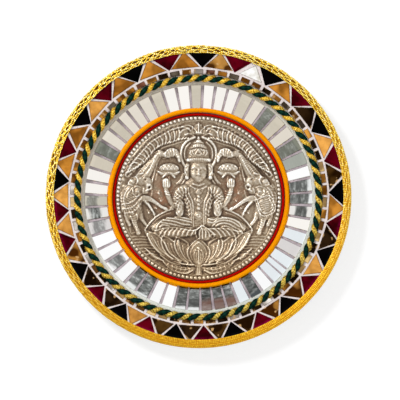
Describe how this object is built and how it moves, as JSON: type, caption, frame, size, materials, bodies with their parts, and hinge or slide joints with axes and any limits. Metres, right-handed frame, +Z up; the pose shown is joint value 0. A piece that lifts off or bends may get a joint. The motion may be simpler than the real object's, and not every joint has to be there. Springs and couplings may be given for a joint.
{
  "type": "decorative plate",
  "caption": "Round decorative plate: steel dish with radial mirror strips, a glass triangle mosaic, cords, lace trim and an embossed round medallion in the middle.",
  "frame": {"origin": "centre of the flat underside, on the surface that the plate rests on", "axes": "+Z up out of the dish, +Y towards the top of the medallion's picture, +X to its right"},
  "size_m": [0.254, 0.254, 0.0204],
  "materials": {
    "polished_steel": "polished stainless steel",
    "white_cement": "matte white cement grout",
    "amber_glass": "amber mirror glass, with black and maroon glass among it",
    "gold_lace": "metallic gold thread lace",
    "twisted_thread": "dark green and gold thread, twisted",
    "orange_satin": "satin cord",
    "red_satin": "satin cord",
    "pressed_board": "raw pressed board",
    "embossed_silver": "embossed silver-coloured sheet, darkened in the hollows",
    "mirror_glass": "silvered mirror glass"
  },
  "bodies": {
    "root": {"steel_plate": "polished_steel", "well_grout": "white_cement", "rim_mosaic": "amber_glass", "lace_trim": "gold_lace", "twisted_rope": "twisted_thread", "orange_cord": "orange_satin", "red_cord": "red_satin", "packing_disc": "pressed_board", "medallion_sheet": "embossed_silver", "mirror_strip_01": "mirror_glass", "mirror_strip_02": "mirror_glass", "mirror_strip_03": "mirror_glass", "mirror_strip_04": "mirror_glass", "mirror_strip_05": "mirror_glass", "mirror_strip_06": "mirror_glass", "mirror_strip_07": "mirror_glass", "mirror_strip_08": "mirror_glass", "mirror_strip_09": "mirror_glass", "mirror_strip_10": "mirror_glass", "mirror_strip_11": "mirror_glass", "mirror_strip_12": "mirror_glass", "mirror_strip_13": "mirror_glass", "mirror_strip_14": "mirror_glass", "mirror_strip_15": "mirror_glass", "mirror_strip_16": "mirror_glass", "mirror_strip_17": "mirror_glass", "mirror_strip_18": "mirror_glass", "mirror_strip_19": "mirror_glass", "mirror_strip_20": "mirror_glass", "mirror_strip_21": "mirror_glass", "mirror_strip_22": "mirror_glass", "mirror_strip_23": "mirror_glass", "mirror_strip_24": "mirror_glass", "mirror_strip_25": "mirror_glass", "mirror_strip_26": "mirror_glass", "mirror_strip_27": "mirror_glass", "mirror_strip_28": "mirror_glass", "mirror_strip_29": "mirror_glass", "mirror_strip_30": "mirror_glass", "mirror_strip_31": "mirror_glass", "mirror_strip_32": "mirror_glass", "mirror_strip_33": "mirror_glass", "mirror_strip_34": "mirror_glass", "mirror_strip_35": "mirror_glass", "mirror_strip_36": "mirror_glass", "mirror_strip_37": "mirror_glass", "mirror_strip_38": "mirror_glass", "mirror_strip_39": "mirror_glass", "mirror_strip_40": "mirror_glass", "mirror_strip_41": "mirror_glass", "mirror_strip_42": "mirror_glass", "mirror_strip_43": "mirror_glass", "mirror_strip_44": "mirror_glass", "mirror_strip_45": "mirror_glass", "mirror_strip_46": "mirror_glass", "mirror_strip_47": "mirror_glass", "mirror_strip_48": "mirror_glass", "mirror_strip_49": "mirror_glass", "mirror_strip_50": "mirror_glass", "mirror_strip_51": "mirror_glass"}
  },
  "joints": []
}
